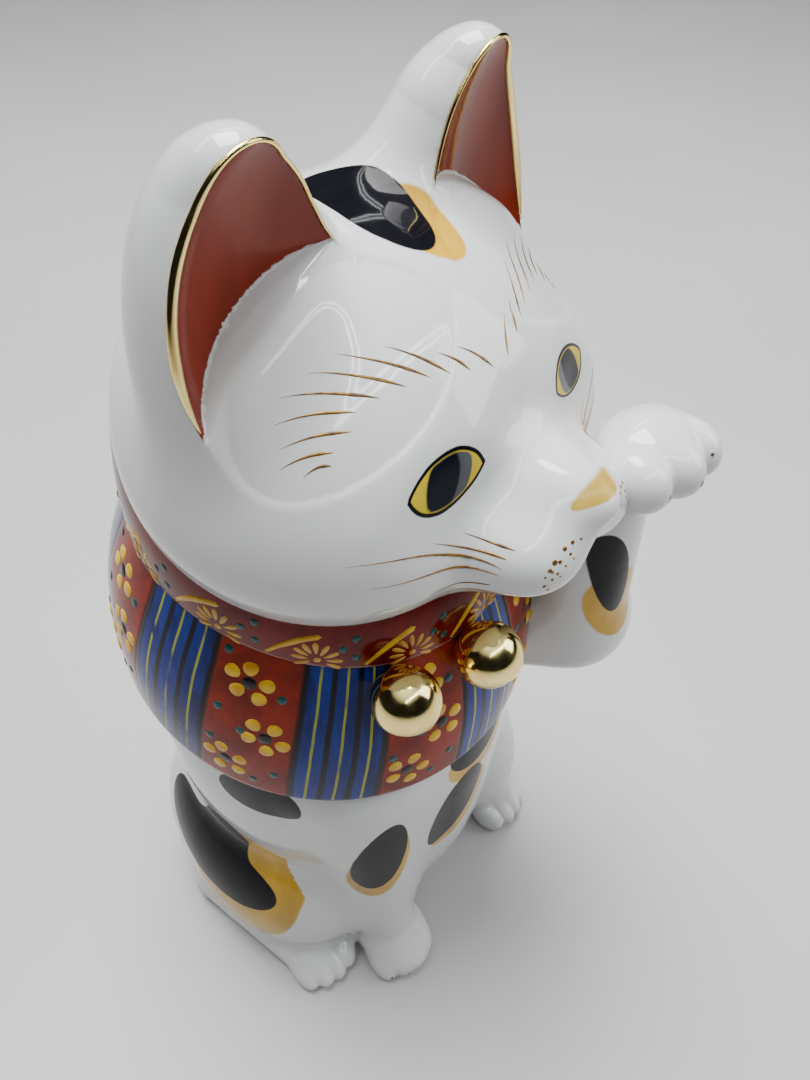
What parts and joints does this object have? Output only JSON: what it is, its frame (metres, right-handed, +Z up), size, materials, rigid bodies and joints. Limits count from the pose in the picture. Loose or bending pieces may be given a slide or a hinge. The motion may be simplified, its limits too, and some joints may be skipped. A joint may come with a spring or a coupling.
{
  "type": "beckoning cat figurine",
  "caption": "Seated hollow porcelain cat with one foreleg raised to beckon, a painted bib with bells, and a flat base to stand on.",
  "frame": {"origin": "on the table plane, at the middle of the base slab's underside", "axes": "+Z up, the cat faces -Y, its left side is towards +X"},
  "size_m": [0.1693, 0.1883, 0.3491],
  "materials": {
    "white_glaze": "glossy clear glaze over white porcelain",
    "bare_base": "unglazed, matt",
    "bib_enamel": "glossy painted enamels in blue and red",
    "red_enamel": "glossy painted enamel",
    "gilding": "bright burnished gold over glaze"
  },
  "bodies": {
    "root": {"body_shell": "white_glaze", "base_slab": "bare_base", "head_shell": "white_glaze", "left_ear": "white_glaze", "right_ear": "white_glaze", "raised_foreleg": "white_glaze", "standing_foreleg": "white_glaze", "left_hind_paw": "white_glaze", "right_hind_paw": "white_glaze", "tail": "white_glaze", "bib": "bib_enamel", "collar": "red_enamel", "left_bell": "gilding", "right_bell": "gilding"}
  },
  "joints": []
}
